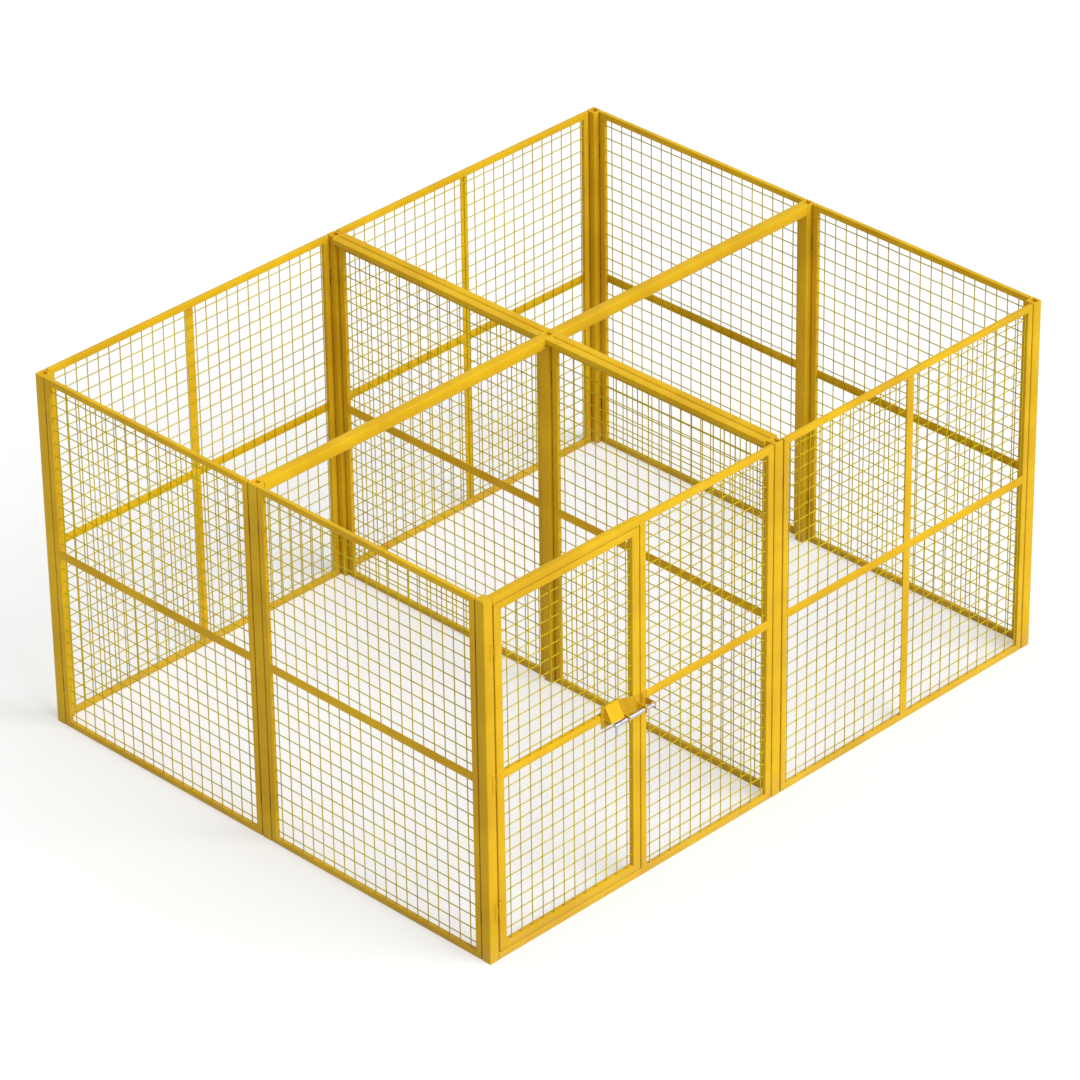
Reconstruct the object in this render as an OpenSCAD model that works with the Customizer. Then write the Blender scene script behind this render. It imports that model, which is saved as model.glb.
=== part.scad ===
// Free-standing wire mesh partition. Nine square posts carry ten welded mesh
// panels in a plan of two by two bays, with an inner wall across the middle, two
// overhead beams, and one hinged door with a slide bolt in the front wall.
// Millimetres. Z is up and the floor is z = 0. X runs along the front wall and Y
// runs from the front wall to the back wall. The origin is on the floor, in the
// middle of the plan box that also takes in the latch in front of the door.

/* [Plan] */
// Distance between post centres along the front wall, on the door's side
door_bay_x = 2046; // [1800:2:2400]
// Distance between post centres along the front wall, on the plain side
bay_x = 1974; // [1700:2:2400]
// Distance between post centres along the side walls
bay_y = 1580; // [1300:10:2000]
// Overall height
height = 2100; // [1900:25:2500]

/* [Posts and beams] */
// Outer width of the square posts and of the overhead beams
post_w = 60; // [50:1:80]
// Wall of the posts and beams
post_wall = 3; // [2:0.5:5]
// Thickness of the plates that close the ends of a post
post_plate = 6; // [4:1:10]
// Width of the square hole in an open post top
socket_w = 36; // [20:1:38]
// Diameter of the floor anchor hole in each foot plate
anchor_d = 14; // [10:1:18]
// Length of the spigot inside each end of a beam
spigot_l = 50; // [30:5:90]
// Clearance round a spigot
spigot_fit = 0.2; // [0.1:0.1:0.4]

/* [Panels] */
// Face width of the tube round a panel
frame_face = 35; // [28:1:50]
// Face width of the tube round the narrow panel beside the door
half_face = 40; // [34:1:55]
// Depth of the panel tube, across the wall
frame_d = 25; // [22:1:40]
// Wall of the panel and door tubes
tube_wall = 2; // [1.5:0.5:3]
// Gap between a post and a panel
seam_gap = 8; // [5:1:14]
// Width of the flat bars that cross a panel
bar_w = 50; // [30:1:60]
// Thickness of the flat bars that cross a panel
bar_t = 6; // [4:1:8]
// Height of the middle of the mid rails
mid_z = 1065; // [950:5:1200]
// Thickness of the foil-thin space left between parts that are spot welded
weld_gap = 0.05; // [0.02:0.01:0.1]

/* [Mesh] */
// Distance between wires, centre to centre
mesh_pitch = 75; // [50:5:100]
// Wire diameter
wire_d = 6; // [3:0.5:6]
// Least distance from a tube to the first wire beside it
wire_margin = 12; // [8:1:24]

/* [Panel clips] */
// Height of a clip
clip_h = 85; // [50:5:110]
// Depth of a clip, across the wall
clip_d = 15; // [15:1:19]
// Distance from the top or the foot to the middle of a clip
clip_inset = 245; // [150:5:400]
// Diameter of the clip bolts
clip_bolt_d = 8; // [5:1:8]
// Height of the sunk head of a clip bolt
clip_head_t = 4; // [3:0.5:5]
// Thickness of the weld nuts inside the posts
clip_nut_t = 8; // [5:1:10]
// Clearance round a clip bolt
clip_fit = 0.2; // [0.1:0.1:0.4]

/* [Inner wall top] */
// Width of each of the two top rails
rail_w = 44; // [32:1:50]
// Height of the top rails
rail_h = 28; // [20:1:40]
// Width of the groove between the two top rails
groove_w = 9; // [5:1:12]
// Depth of the groove between the two top rails
groove_h = 4; // [2:1:10]

/* [Door] */
// Width of the door leaf
door_w = 1002; // [800:2:1100]
// Face width of the door's upright tubes
door_stile = 50; // [40:1:70]
// Face width of the door's cross tubes
door_rail = 40; // [30:1:60]
// Depth of the door tubes
door_d = 30; // [24:1:40]
// Gap on the hinge side of the door
hinge_gap = 8; // [7:0.5:10]
// Gap on the lock side of the door
lock_gap = 6; // [3:0.5:10]
// Gap above and below the door
door_gap = 5; // [3:0.5:10]
// Width of the square tube over the door and of the one under it
header_w = 40; // [32:1:50]

/* [Hinges] */
// Length of a hinge
hinge_l = 100; // [80:5:140]
// Width of one leaf, from the pin's axis
hinge_leaf = 28; // [22:1:36]
// Thickness of a leaf
hinge_t = 3; // [2:0.5:4]
// Radius of the knuckles
knuckle_r = 7; // [6:0.5:7]
// Diameter of the hinge pin
pin_d = 7; // [5:0.5:8]
// Radial running clearance of the pin
pin_fit = 0.05; // [0.02:0.01:0.1]
// Endwise gap between knuckles
knuckle_gap = 0.5; // [0.3:0.1:1]
// Distance from the door's ends to the middle of the outer hinges
hinge_inset = 250; // [150:5:400]

/* [Latch] */
// Diameter of the slide bolt
bolt_d = 24; // [16:1:28]
// Length of the slide bolt
bolt_l = 275; // [260:5:340]
// Distance from the face of the door to the axis of the bolt
bolt_reach = 50; // [40:1:60]
// Distance of the bolt's axis below the middle of the mid rail
bolt_drop = 35; // [25:1:45]
// Radial running clearance of the bolt in its guides
bolt_fit = 0.08; // [0.04:0.01:0.1]
// Radial clearance of the bolt in the keeper
keeper_fit = 1.5; // [0.5:0.1:2]
// Distance from the bolt's tip to the keeper with the bolt drawn
keeper_gap = 1.5; // [0.5:0.5:4]
// Thickness of the latch plate, the keeper and its flange
latch_t = 4; // [3:0.5:6]
// Length of the latch plate
latch_l = 276; // [265:1:290]
// Height of the latch plate behind the hood
latch_h = 125; // [110:1:160]
// How far the plate's top edge falls from the hood to the lock edge
latch_fall = 46; // [0:1:50]
// Rim of metal round the bolt's holes
guide_rim = 4; // [3:0.5:8]
// Thickness of a bolt guide
guide_t = 6; // [4:0.5:10]
// Distance of the inner bolt guide from the lock edge of the door
guide_inset = 142; // [130:1:150]
// Width of the hood over the bolt's handle
hood_w = 90; // [70:1:95]
// Distance from the latch plate's end to the hood
hood_inset = 25; // [20:1:30]
// Reach of the hood's lip in front of the latch plate
hood_reach = 50; // [40:1:60]
// Sheet thickness of the hood
hood_t = 2.5; // [1.5:0.5:4]
// Clear height between the bolt and the hood's lip
hood_clear = 12; // [6:1:20]
// Diameter of the bolt's handle
handle_d = 12; // [8:1:14]
// Length of the bolt's handle below the bolt
handle_l = 42; // [25:1:60]
// Diameter of the screws of the latch and the keeper
screw_d = 6; // [4:0.5:8]
// Length of the screws under the head
screw_l = 16; // [10:1:24]

/* [Hidden] */
overall_x = door_bay_x + bay_x + post_w;
overall_y = 2 * bay_y + post_w;
front_reach = bolt_reach + bolt_d / 2 + guide_rim;
x0 = -overall_x / 2;
y0 = (front_reach - overall_y) / 2;
wire_r = wire_d / 2;
bolt_r = bolt_d / 2;
cut = 1;
round_fine = 48;
round_wire = 20;
half_gap = clip_fit / 2;

// Front wall, measured from the outer corner of the post that carries the door
door_x0 = post_w + hinge_gap;
door_x1 = door_x0 + door_w;
door_z0 = header_w + door_gap;
door_z1 = height - header_w - door_gap;
half_x0 = door_x1 + lock_gap;
half_x1 = door_bay_x - seam_gap;
side_w = bay_y - post_w - 2 * seam_gap;
wall_h = height - rail_h;

// Hinge pin's axis: in the middle of the gap, proud of the door's face
pin_x = post_w + hinge_gap / 2;
pin_y = -(knuckle_r - cut);
hinge_z = [door_z0 + hinge_inset, (door_z0 + door_z1) / 2, door_z1 - hinge_inset];

// Latch
bolt_z = mid_z - bolt_drop;
latch_x1 = door_x1 - latch_t;
latch_x0 = latch_x1 - latch_l;
latch_z0 = bolt_z - bolt_r - 2 * guide_rim;
keeper_x1 = half_x0 + half_face;
keeper_x0 = keeper_x1 - latch_t;
bolt_x1 = keeper_x0 - keeper_gap;
bolt_x0 = bolt_x1 - bolt_l;
guide_half = bolt_r + 2 * guide_rim;
guide_x = [door_x1 - guide_inset, latch_x1 - 2 * guide_t - latch_t];
hood_x0 = latch_x0 + hood_inset;
hood_z0 = bolt_z + bolt_r + hood_clear;
hood_z1 = latch_z0 + latch_h;
handle_x = bolt_x0 + handle_d + guide_rim;
screw_r = screw_d / 2;
latch_screws_at = [
    [latch_x0 + hood_inset / 2, mid_z],
    [door_x1 - guide_inset + 3 * guide_t, mid_z],
    [door_x1 - door_stile / 2, mid_z + guide_rim]
];
keeper_screws_at = [
    [half_x0 + half_face / 2, bolt_z + guide_half + 2 * screw_d],
    [half_x0 + half_face / 2, bolt_z + guide_half + 5 * screw_d]
];
keeper_h = 2 * guide_half + 7 * screw_d;

// Wall lines and post centres
function bay_l(i) = i == 0 ? door_bay_x : bay_x;
function wide_w(i) = bay_l(i) - post_w - 2 * seam_gap;
function post_x(i) = x0 + post_w / 2 + (i > 0 ? door_bay_x : 0) + (i > 1 ? bay_x : 0);
function post_y(j) = y0 + post_w / 2 + j * bay_y;
function wall_x(i) = i == 1 ? post_x(1) : (i == 0 ? x0 + frame_d / 2 : x0 + overall_x - frame_d / 2);
function wall_y(j) = j == 0 ? y0 + frame_d / 2 : y0 + overall_y - frame_d / 2;
// A seam joins post [i, j] to a panel on its +X, +Y, -X or -Y side (0, 1, 2, 3)
seams = [
    [1, 0, 0], [1, 0, 2], [2, 0, 2],
    [0, 2, 0], [1, 2, 0], [1, 2, 2], [2, 2, 2],
    [0, 0, 1], [0, 1, 1], [0, 1, 3], [0, 2, 3],
    [1, 0, 1], [1, 1, 1], [1, 1, 3], [1, 2, 3],
    [2, 0, 1], [2, 1, 1], [2, 1, 3], [2, 2, 3]
];
clip_z = [clip_inset, height - clip_inset];
function seam_face(s) = s[2] == 0 || s[2] == 1 ? post_w / 2 : -post_w / 2;
function seam_at(s) = s[2] == 0 || s[2] == 2
    ? [post_x(s[0]) + seam_face(s), wall_y(s[1]), 0]
    : [wall_x(s[0]), post_y(s[1]) + seam_face(s), 0];
function seam_stile(s) = s == [1, 0, 2] ? half_face : frame_face;
// Wires at fixed heights above the floor, and wires centred in an opening
function level_wires(a, b) = [
    for (k = [ceil((a + wire_margin) / mesh_pitch) : floor((b - wire_margin) / mesh_pitch)])
        k * mesh_pitch
];
function wire_spaces(a, b) = floor((b - a - 2 * wire_margin) / mesh_pitch);
function upright_wires(a, b) = [
    for (k = [0 : wire_spaces(a, b)])
        (a + b) / 2 + (k - wire_spaces(a, b) / 2) * mesh_pitch
];

// ---------------------------------------------------------------- placing
// Front wall coordinates: x from the left post's outer corner, y = 0 the face
module on_front() {
    translate([x0, y0, 0])
        children();
}

// Panel coordinates: x along the wall, y from the outer face inwards
module on_front_wall(i) {
    translate([post_x(i) + post_w / 2 + seam_gap, y0, 0])
        children();
}

module on_back_wall(i) {
    translate([post_x(i) + post_w / 2 + seam_gap, y0 + overall_y, 0])
        mirror([0, 1, 0])
            children();
}

module on_left_wall(j) {
    translate([x0, post_y(j) + post_w / 2 + seam_gap, 0])
        mirror([1, -1, 0])
            children();
}

module on_right_wall(j) {
    translate([x0 + overall_x, post_y(j) + post_w / 2 + seam_gap, 0])
        rotate([0, 0, 90])
            children();
}

module on_inner_wall(j) {
    translate([post_x(1) - frame_d / 2, post_y(j) + post_w / 2 + seam_gap, 0])
        mirror([1, -1, 0])
            children();
}

// Seam coordinates: +x points from the post's face to the panel
module at_seam(s) {
    translate(seam_at(s))
        rotate([0, 0, 90 * s[2]])
            children();
}

// A round bar along +X from x = a to x = b
module rod_x(a, b, r, sides = round_fine) {
    translate([a, 0, 0])
        rotate([0, 90, 0])
            cylinder(h = b - a, r = r, $fn = sides);
}

// A round bar along +Y from y = a to y = b
module rod_y(a, b, r, sides = round_fine) {
    translate([0, a, 0])
        rotate([-90, 0, 0])
            cylinder(h = b - a, r = r, $fn = sides);
}

// ---------------------------------------------------------------- posts
// The post that carries the door has a closed top, the others an open socket
module post(i, j, open_top = true) {
    inner = post_w - 2 * post_wall;
    color([0.93, 0.72, 0.12])
        difference() {
            translate([post_x(i) - post_w / 2, post_y(j) - post_w / 2, 0])
                cube([post_w, post_w, height]);
            translate([post_x(i) - inner / 2, post_y(j) - inner / 2, post_plate])
                cube([inner, inner, height - 2 * post_plate]);
            translate([post_x(i), post_y(j), -cut])
                cylinder(h = post_plate + 2 * cut, r = anchor_d / 2, $fn = round_fine);
            if (open_top)
                translate([post_x(i) - socket_w / 2, post_y(j) - socket_w / 2, height - post_plate - cut])
                    cube([socket_w, socket_w, post_plate + 2 * cut]);
            for (s = seams)
                if (s[0] == i && s[1] == j)
                    at_seam(s)
                        for (z = clip_z)
                            translate([0, 0, z])
                                rod_x(-post_wall - cut, cut, clip_bolt_d / 2 + clip_fit);
        }
}

module post_front_left() {
    post(0, 0, false);
}
module post_front_middle() {
    post(1, 0);
}
module post_front_right() {
    post(2, 0);
}
module post_middle_left() {
    post(0, 1);
}
module post_centre() {
    post(1, 1);
}
module post_middle_right() {
    post(2, 1);
}
module post_back_left() {
    post(0, 2);
}
module post_back_middle() {
    post(1, 2);
}
module post_back_right() {
    post(2, 2);
}

// ---------------------------------------------------------------- beams
module beam(i) {
    inner = post_w - 2 * post_wall;
    color([0.93, 0.72, 0.12])
        translate([post_x(i) + post_w / 2, post_y(1) - post_w / 2, height - post_w])
            difference() {
                cube([bay_l(i) - post_w, post_w, post_w]);
                translate([-cut, post_wall, post_wall])
                    cube([bay_l(i) - post_w + 2 * cut, inner, inner]);
            }
}

module beam_left() {
    beam(0);
}
module beam_right() {
    beam(1);
}

// Spigots welded to the posts, one inside each end of each beam
module beam_spigots() {
    side = post_w - 2 * post_wall - 2 * spigot_fit;
    color([0.75, 0.58, 0.10])
        for (i = [0, 1])
            for (x = [post_x(i) + post_w / 2, post_x(i + 1) - post_w / 2 - spigot_l])
                translate([x, post_y(1) - side / 2, height - post_w / 2 - side / 2])
                    cube([spigot_l, side, side]);
}

// ---------------------------------------------------------------- panels
// A welded rectangle of tube, w wide, from height a to height b
module tube_ring(w, a, b, stile, rail, d) {
    difference() {
        translate([0, 0, a])
            cube([w, d, b - a]);
        translate([stile, -cut, a + rail])
            cube([w - 2 * stile, d + 2 * cut, b - a - 2 * rail]);
        difference() {
            translate([tube_wall, tube_wall, a + tube_wall])
                cube([w - 2 * tube_wall, d - 2 * tube_wall, b - a - 2 * tube_wall]);
            translate([stile - tube_wall, 0, a + rail - tube_wall])
                cube([w - 2 * stile + 2 * tube_wall, d, b - a - 2 * rail + 2 * tube_wall]);
        }
    }
}

// Holes for the clip bolts through a stile whose outer edge is at x = 0
module stile_holes(stile) {
    for (z = clip_z)
        translate([0, frame_d / 2, z]) {
            rod_x(-cut, stile + cut, clip_bolt_d / 2 + clip_fit);
            rod_x(stile - clip_head_t - half_gap, stile + cut, clip_bolt_d + clip_fit);
        }
}

// A panel frame with a flat mid rail and, on a wide panel, a flat centre bar
module panel_frame(w, h, face, centre_bar, left_holes = true) {
    color([0.93, 0.72, 0.12]) {
        difference() {
            union() {
                tube_ring(w, 0, h, face, face, frame_d);
                translate([face, 0, mid_z - bar_w / 2])
                    cube([w - 2 * face, bar_t, bar_w]);
                if (centre_bar)
                    translate([w / 2 - bar_w / 2, 0, face])
                        cube([bar_w, bar_t, h - 2 * face]);
            }
            if (left_holes)
                stile_holes(face);
            translate([w, 0, 0])
                mirror([1, 0, 0])
                    stile_holes(face);
        }
    }
}

// Welded mesh in an opening: upright wires behind the flat bars, then level ones
module mesh(a, b, bottom, top) {
    y_upright = bar_t + weld_gap + wire_r;
    y_level = y_upright + wire_d + weld_gap;
    color([0.95, 0.78, 0.20]) {
        for (x = upright_wires(a, b))
            translate([x, y_upright, bottom])
                cylinder(h = top - bottom, r = wire_r, $fn = round_wire);
        for (z = level_wires(bottom, top))
            translate([0, y_level, z])
                rod_x(a, b, wire_r, round_wire);
    }
}

module panel_mesh(w, h, face) {
    mesh(face, w - face, face, h - face);
}

module frame_front_narrow() {
    color([0.93, 0.72, 0.12])
        on_front()
            difference() {
                translate([half_x0, 0, 0])
                    panel_frame(half_x1 - half_x0, height, half_face, false, false);
                for (p = keeper_screws_at)
                    translate([p[0], 0, p[1]])
                        rod_y(-cut, tube_wall + cut, screw_r + weld_gap);
            }
}
module mesh_front_narrow() {
    on_front()
        translate([half_x0, 0, 0])
            panel_mesh(half_x1 - half_x0, height, half_face);
}
module frame_front_wide() {
    on_front_wall(1)
        panel_frame(wide_w(1), height, frame_face, true);
}
module mesh_front_wide() {
    on_front_wall(1)
        panel_mesh(wide_w(1), height, frame_face);
}
module frame_left_front() {
    on_left_wall(0)
        panel_frame(side_w, height, frame_face, false);
}
module mesh_left_front() {
    on_left_wall(0)
        panel_mesh(side_w, height, frame_face);
}
module frame_left_back() {
    on_left_wall(1)
        panel_frame(side_w, height, frame_face, false);
}
module mesh_left_back() {
    on_left_wall(1)
        panel_mesh(side_w, height, frame_face);
}
module frame_right_front() {
    on_right_wall(0)
        panel_frame(side_w, height, frame_face, false);
}
module mesh_right_front() {
    on_right_wall(0)
        panel_mesh(side_w, height, frame_face);
}
module frame_right_back() {
    on_right_wall(1)
        panel_frame(side_w, height, frame_face, false);
}
module mesh_right_back() {
    on_right_wall(1)
        panel_mesh(side_w, height, frame_face);
}
module frame_back_left() {
    on_back_wall(0)
        panel_frame(wide_w(0), height, frame_face, true);
}
module mesh_back_left() {
    on_back_wall(0)
        panel_mesh(wide_w(0), height, frame_face);
}
module frame_back_right() {
    on_back_wall(1)
        panel_frame(wide_w(1), height, frame_face, true);
}
module mesh_back_right() {
    on_back_wall(1)
        panel_mesh(wide_w(1), height, frame_face);
}
module frame_inner_front() {
    on_inner_wall(0)
        panel_frame(side_w, wall_h, frame_face, false);
}
module mesh_inner_front() {
    on_inner_wall(0)
        panel_mesh(side_w, wall_h, frame_face);
}
module frame_inner_back() {
    on_inner_wall(1)
        panel_frame(side_w, wall_h, frame_face, false);
}
module mesh_inner_back() {
    on_inner_wall(1)
        panel_mesh(side_w, wall_h, frame_face);
}

// Two tubes and a filler strip on top of the inner wall, between two posts
module inner_rails(j) {
    l = bay_y - post_w;
    color([0.91, 0.72, 0.17])
        translate([post_x(1), post_y(j) + post_w / 2, wall_h]) {
            for (x = [-groove_w / 2 - rail_w, groove_w / 2])
                translate([x, 0, 0])
                    difference() {
                        cube([rail_w, l, rail_h]);
                        translate([tube_wall, -cut, tube_wall])
                            cube([rail_w - 2 * tube_wall, l + 2 * cut, rail_h - 2 * tube_wall]);
                    }
            translate([-groove_w / 2 + weld_gap, 0, 0])
                cube([groove_w - 2 * weld_gap, l, rail_h - groove_h]);
        }
}

module inner_rails_front() {
    inner_rails(0);
}
module inner_rails_back() {
    inner_rails(1);
}

// ---------------------------------------------------------------- clips
// Spacer clips in the seams, two to a seam
module panel_clips() {
    color([0.35, 0.27, 0.10])
        for (s = seams)
            for (z = clip_z)
                at_seam(s)
                    difference() {
                        translate([0, -clip_d / 2, z - clip_h / 2])
                            cube([seam_gap, clip_d, clip_h]);
                        translate([0, 0, z])
                            rod_x(-cut, seam_gap + cut, clip_bolt_d / 2 + clip_fit);
                    }
}

// Bolts from the panel side, with their heads sunk flush in the stiles
module clip_bolts() {
    color([0.72, 0.72, 0.74])
        for (s = seams)
            for (z = clip_z)
                at_seam(s)
                    translate([0, 0, z]) {
                        rod_x(-post_wall - clip_nut_t, seam_gap + seam_stile(s), clip_bolt_d / 2);
                        rod_x(seam_gap + seam_stile(s) - clip_head_t, seam_gap + seam_stile(s), clip_bolt_d);
                    }
}

// Weld nuts inside the posts
module clip_nuts() {
    color([0.60, 0.60, 0.62])
        for (s = seams)
            for (z = clip_z)
                at_seam(s)
                    translate([0, 0, z])
                        difference() {
                            rod_x(-post_wall - clip_nut_t, -post_wall, clip_bolt_d, 6);
                            rod_x(-post_wall - clip_nut_t - cut, cut, clip_bolt_d / 2 + weld_gap);
                        }
}

// ---------------------------------------------------------------- doorway
// A square tube between the left post and the narrow panel
module door_tube(z) {
    l = half_x0 - post_w;
    color([0.93, 0.72, 0.12])
        on_front()
            translate([post_w, 0, z])
                difference() {
                    cube([l, header_w, header_w]);
                    translate([-cut, tube_wall, tube_wall])
                        cube([l + 2 * cut, header_w - 2 * tube_wall, header_w - 2 * tube_wall]);
                }
}

module door_header() {
    door_tube(height - header_w);
}
module door_sill() {
    door_tube(0);
}

// ---------------------------------------------------------------- door
module door_frame() {
    color([0.93, 0.72, 0.12])
        on_front()
            difference() {
                union() {
                    translate([door_x0, 0, 0])
                        tube_ring(door_w, door_z0, door_z1, door_stile, door_rail, door_d);
                    translate([door_x0 + door_stile, 0, mid_z - door_rail / 2])
                        difference() {
                            cube([door_w - 2 * door_stile, door_d, door_rail]);
                            translate([tube_wall, tube_wall, tube_wall])
                                cube([
                                    door_w - 2 * door_stile - 2 * tube_wall,
                                    door_d - 2 * tube_wall,
                                    door_rail - 2 * tube_wall
                                ]);
                        }
                }
                for (p = latch_screws_at)
                    translate([p[0], 0, p[1]])
                        rod_y(-cut, tube_wall + cut, screw_r + weld_gap);
            }
}

module door_mesh() {
    on_front() {
        mesh(door_x0 + door_stile, door_x1 - door_stile, door_z0 + door_rail, mid_z - door_rail / 2);
        mesh(door_x0 + door_stile, door_x1 - door_stile, mid_z + door_rail / 2, door_z1 - door_rail);
    }
}

// ---------------------------------------------------------------- hinges
// Heights of the two joints between the three knuckles of a hinge
knuckle_z = [hinge_l / 3, 2 * hinge_l / 3];

module knuckle(a, b) {
    difference() {
        translate([0, 0, a])
            cylinder(h = b - a, r = knuckle_r, $fn = round_fine);
        translate([0, 0, a - cut])
            cylinder(h = b - a + 2 * cut, r = pin_d / 2 + pin_fit, $fn = round_fine);
    }
}

// A leaf from x = a to x = b on the front face, clear of the pin's bore
module leaf(a, b, bottom, top) {
    difference() {
        translate([a, -pin_y - hinge_t, bottom])
            cube([b - a, hinge_t, top - bottom]);
        translate([0, 0, bottom - cut])
            cylinder(h = top - bottom + 2 * cut, r = pin_d / 2 + pin_fit, $fn = round_fine);
    }
}

module at_hinges() {
    on_front()
        for (z = hinge_z)
            translate([pin_x, pin_y, z - hinge_l / 2])
                children();
}

module hinge_leaves_post() {
    clear = knuckle_r + knuckle_gap;
    color([0.90, 0.70, 0.14])
        at_hinges()
            union() {
                knuckle(0, knuckle_z[0]);
                knuckle(knuckle_z[1], hinge_l);
                leaf(-hinge_leaf, 0, 0, knuckle_z[0]);
                leaf(-hinge_leaf, 0, knuckle_z[1], hinge_l);
                leaf(-hinge_leaf, -clear, 0, hinge_l);
            }
}

module hinge_leaves_door() {
    clear = knuckle_r + knuckle_gap;
    low = knuckle_z[0] + knuckle_gap;
    high = knuckle_z[1] - knuckle_gap;
    color([0.90, 0.70, 0.14])
        at_hinges()
            union() {
                knuckle(low, high);
                leaf(0, hinge_leaf, low, high);
                leaf(clear, hinge_leaf, 0, hinge_l);
            }
}

module hinge_pins() {
    color([0.72, 0.72, 0.74])
        at_hinges()
            union() {
                translate([0, 0, -hinge_t])
                    cylinder(h = hinge_l + 2 * hinge_t, r = pin_d / 2, $fn = round_fine);
                translate([0, 0, -hinge_t])
                    cylinder(h = hinge_t, r = knuckle_r - cut, $fn = round_fine);
                translate([0, 0, hinge_l])
                    cylinder(h = hinge_t, r = knuckle_r - cut, $fn = round_fine);
            }
}

// ---------------------------------------------------------------- latch
module latch_plate() {
    color([0.91, 0.71, 0.13])
        on_front()
            difference() {
                translate([latch_x0, 0, latch_z0])
                    rotate([90, 0, 0])
                        linear_extrude(height = latch_t)
                            polygon([
                                [0, 0],
                                [latch_l, 0],
                                [latch_l, latch_h - latch_fall],
                                [hood_inset + hood_w, latch_h],
                                [0, latch_h]
                            ]);
                for (p = latch_screws_at)
                    translate([p[0], 0, p[1]])
                        rod_y(-latch_t - cut, cut, screw_r + weld_gap);
            }
}

// Sloping sheet hood with a cheek at each end, open below
module latch_hood() {
    rise = hood_z1 - hood_z0;
    inner_rise = rise * (hood_reach - hood_t) / hood_reach;
    color([0.95, 0.76, 0.10])
        on_front()
            translate([hood_x0, -latch_t, hood_z0])
                rotate([90, 0, 90])
                    difference() {
                        linear_extrude(height = hood_w)
                            polygon([[0, 0], [0, rise], [-hood_reach, 0]]);
                        translate([0, 0, hood_t])
                            linear_extrude(height = hood_w - 2 * hood_t)
                                polygon([
                                    [cut, -cut],
                                    [cut, inner_rise],
                                    [0, inner_rise],
                                    [hood_t - hood_reach, 0],
                                    [hood_t - hood_reach, -cut]
                                ]);
                    }
}

// Upright eye plate that the bolt slides in
module bolt_eye(x, t, y_back, clear) {
    translate([x, 0, 0])
        difference() {
            translate([0, -front_reach, bolt_z - guide_half])
                cube([t, front_reach - y_back, 2 * guide_half]);
            translate([0, -bolt_reach, bolt_z])
                rod_x(-cut, t + cut, bolt_r + clear);
        }
}

module bolt_guides() {
    color([0.91, 0.71, 0.13])
        on_front()
            for (x = guide_x)
                bolt_eye(x, guide_t, latch_t, bolt_fit);
}

module bolt_keeper() {
    color([0.80, 0.61, 0.10])
        on_front()
            difference() {
                union() {
                    bolt_eye(keeper_x0, latch_t, 0, keeper_fit);
                    translate([half_x0 + guide_rim, -latch_t, bolt_z - guide_half])
                        cube([half_face - guide_rim, latch_t, keeper_h]);
                }
                for (p = keeper_screws_at)
                    translate([p[0], 0, p[1]])
                        rod_y(-latch_t - cut, cut, screw_r + weld_gap);
            }
}

// Hexagon headed screws through a plate that lies on the front face
module face_screws(places) {
    color([0.72, 0.72, 0.74])
        on_front()
            for (p = places)
                translate([p[0], 0, p[1]])
                    union() {
                        rod_y(-latch_t, screw_l - latch_t, screw_r);
                        rod_y(-latch_t - screw_r, -latch_t, screw_d, 6);
                    }
}

module latch_screws() {
    face_screws(latch_screws_at);
}
module keeper_screws() {
    face_screws(keeper_screws_at);
}

module slide_bolt() {
    color([0.73, 0.73, 0.78])
        on_front()
            translate([0, -bolt_reach, bolt_z])
                union() {
                    rod_x(bolt_x0, bolt_x1, bolt_r);
                    translate([handle_x, 0, -bolt_r - handle_l])
                        cylinder(h = handle_l + bolt_r, r = handle_d / 2, $fn = round_fine);
                    translate([handle_x, 0, -bolt_r - handle_l])
                        sphere(r = handle_d / 2 + cut, $fn = round_fine);
                }
}

// ---------------------------------------------------------------- drawing
post_front_left();
post_front_middle();
post_front_right();
post_middle_left();
post_centre();
post_middle_right();
post_back_left();
post_back_middle();
post_back_right();
beam_left();
beam_right();
beam_spigots();
frame_front_narrow();
frame_front_wide();
frame_left_front();
frame_left_back();
frame_right_front();
frame_right_back();
frame_back_left();
frame_back_right();
frame_inner_front();
frame_inner_back();
mesh_front_narrow();
mesh_front_wide();
mesh_left_front();
mesh_left_back();
mesh_right_front();
mesh_right_back();
mesh_back_left();
mesh_back_right();
mesh_inner_front();
mesh_inner_back();
inner_rails_front();
inner_rails_back();
panel_clips();
clip_bolts();
clip_nuts();
door_header();
door_sill();
door_frame();
door_mesh();
hinge_leaves_post();
hinge_leaves_door();
hinge_pins();
latch_plate();
latch_hood();
bolt_guides();
latch_screws();
slide_bolt();
bolt_keeper();
keeper_screws();
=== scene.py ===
import math
import random

import bmesh
import bpy
from mathutils import Matrix, Vector


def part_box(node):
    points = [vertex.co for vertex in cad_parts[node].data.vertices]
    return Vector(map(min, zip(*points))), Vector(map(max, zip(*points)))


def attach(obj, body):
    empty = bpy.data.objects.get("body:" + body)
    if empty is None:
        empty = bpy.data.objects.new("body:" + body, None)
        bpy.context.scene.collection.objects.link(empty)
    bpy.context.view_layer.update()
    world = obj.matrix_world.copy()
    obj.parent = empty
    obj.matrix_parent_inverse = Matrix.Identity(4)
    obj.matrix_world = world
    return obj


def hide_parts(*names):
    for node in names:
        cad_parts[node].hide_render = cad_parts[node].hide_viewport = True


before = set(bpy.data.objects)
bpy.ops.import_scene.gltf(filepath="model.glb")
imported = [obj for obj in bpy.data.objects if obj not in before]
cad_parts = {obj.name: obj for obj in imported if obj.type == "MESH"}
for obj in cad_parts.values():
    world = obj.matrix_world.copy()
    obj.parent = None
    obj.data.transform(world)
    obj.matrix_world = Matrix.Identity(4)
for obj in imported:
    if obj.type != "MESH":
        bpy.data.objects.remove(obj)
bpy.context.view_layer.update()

rng = random.Random(4402)
MM = 0.001

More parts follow.
